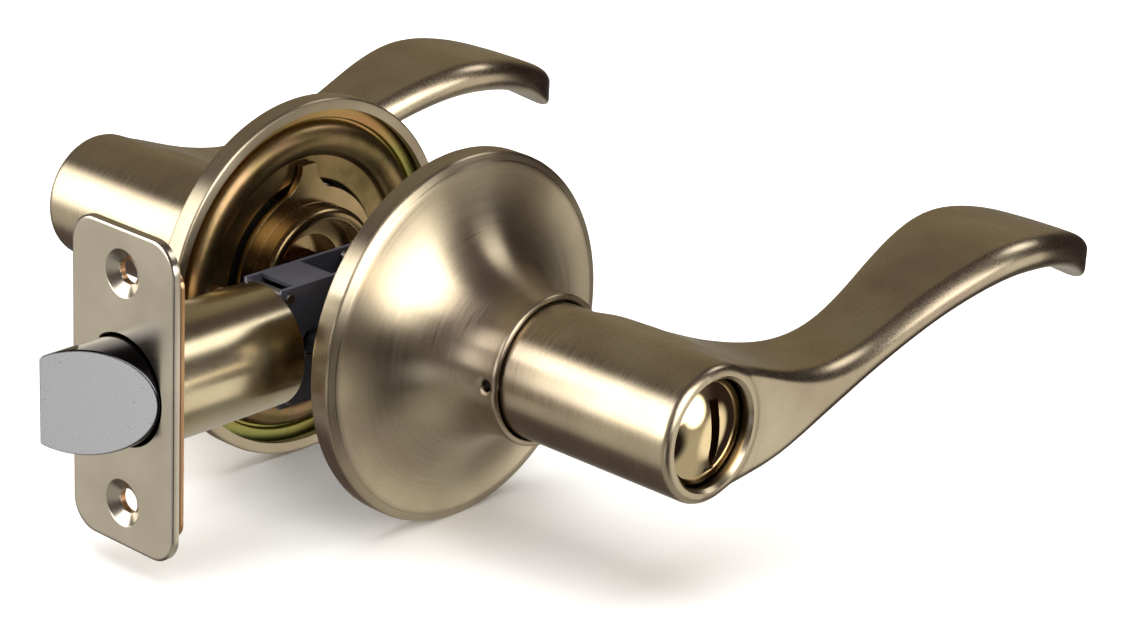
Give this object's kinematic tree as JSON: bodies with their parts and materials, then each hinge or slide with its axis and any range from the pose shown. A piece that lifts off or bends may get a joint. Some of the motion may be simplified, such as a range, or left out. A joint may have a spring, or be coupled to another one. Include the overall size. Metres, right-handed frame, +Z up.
{
  "type": "privacy door lever lockset",
  "caption": "Privacy lever lockset: wave levers on round roses either side of a door, a tubular spring latch with faceplate, and a turn button with its locking stem.",
  "frame": {"origin": "where the spindle axis crosses the latch axis, in the middle of the door's thickness", "axes": "+Z up; +X the way the levers point, away from the door's edge; the bolt points along -X; -Y is the side with the turn button, +Y is the side with the release hole"},
  "size_m": [0.1934, 0.1638, 0.0676],
  "materials": {
    "antique_brass": "satin, brushed round, lacquered antique brass plate",
    "dichromate_steel": "yellow dichromate over zinc, faint iridescence",
    "polished_brass": "polished",
    "chrome_bolt": "satin chrome, cast and lightly polished",
    "satin_nickel_plate": "satin, warm nickel",
    "copper_plate": "copper flash under plate",
    "tube_brass": "drawn tube, brass plated, smooth",
    "gunmetal_case": "black zinc",
    "zinc_steel": "bright zinc on steel",
    "spring_steel": "oiled spring wire",
    "spindle_bronze": "dichromate gold, half bright"
  },
  "bodies": {
    "chassis": {"outer_rose": "antique_brass", "inner_rose": "antique_brass", "outer_mounting_plate": "dichromate_steel", "inner_mounting_plate": "dichromate_steel", "outer_spring_cover": "zinc_steel", "inner_spring_cover": "zinc_steel", "outer_return_spring": "spring_steel", "inner_return_spring": "spring_steel", "mounting_screws": "zinc_steel", "latch_faceplate": "satin_nickel_plate", "latch_backplate": "copper_plate", "latch_tube": "tube_brass", "latch_case": "gunmetal_case", "case_rivets": "zinc_steel"},
    "inner_handle": {"inner_lever": "antique_brass", "inner_driver": "dichromate_steel", "inner_retaining_ring": "spring_steel", "spindle": "spindle_bronze", "latch_cam": "zinc_steel", "catch_guide": "zinc_steel"},
    "outer_handle": {"outer_lever": "antique_brass", "outer_driver": "dichromate_steel", "outer_retaining_ring": "spring_steel"},
    "catch": {"lever_catch": "zinc_steel", "catch_spring": "spring_steel"},
    "button": {"turn_button": "polished_brass", "lock_stem": "zinc_steel", "lock_cam": "zinc_steel"},
    "bolt": {"latch_bolt": "chrome_bolt", "bolt_tail": "zinc_steel", "bolt_pin": "zinc_steel", "bolt_spring": "spring_steel"}
  },
  "joints": [
    {"name": "lever_turn", "type": "hinge", "parent": "chassis", "child": "inner_handle", "pos_m": [0, 0, 0], "axis": [0, 1, 0], "range_deg": [0, 62], "stiffness_Nm_per_rad": 0.6, "springref_deg": -17.19},
    {"name": "outer_lever_turn", "type": "hinge", "parent": "chassis", "child": "outer_handle", "pos_m": [0, 0, 0], "axis": [0, 1, 0], "range_deg": [0, 62], "stiffness_Nm_per_rad": 0.6, "springref_deg": -17.19},
    {"name": "bolt_slide", "type": "slide", "parent": "chassis", "child": "bolt", "axis": [1, 0, 0], "range_m": [0, 0.01184], "stiffness_N_per_m": 300, "springref_m": -0.004, "deforming": ["bolt_spring"]},
    {"name": "button_turn", "type": "hinge", "parent": "inner_handle", "child": "button", "pos_m": [0, 0, 0], "axis": [0, 1, 0], "range_deg": [0, 90]},
    {"name": "catch_press", "type": "slide", "parent": "inner_handle", "child": "catch", "axis": [1, 0, 0], "range_m": [0, 0.0022], "stiffness_N_per_m": 500, "springref_m": -0.001, "deforming": ["catch_spring"]}
  ],
  "couplings": [
    {"joint": "outer_lever_turn", "follows": "lever_turn", "ratio": 1},
    {"joint": "bolt_slide", "follows": "lever_turn", "m_per_rad": 0.010852}
  ]
}
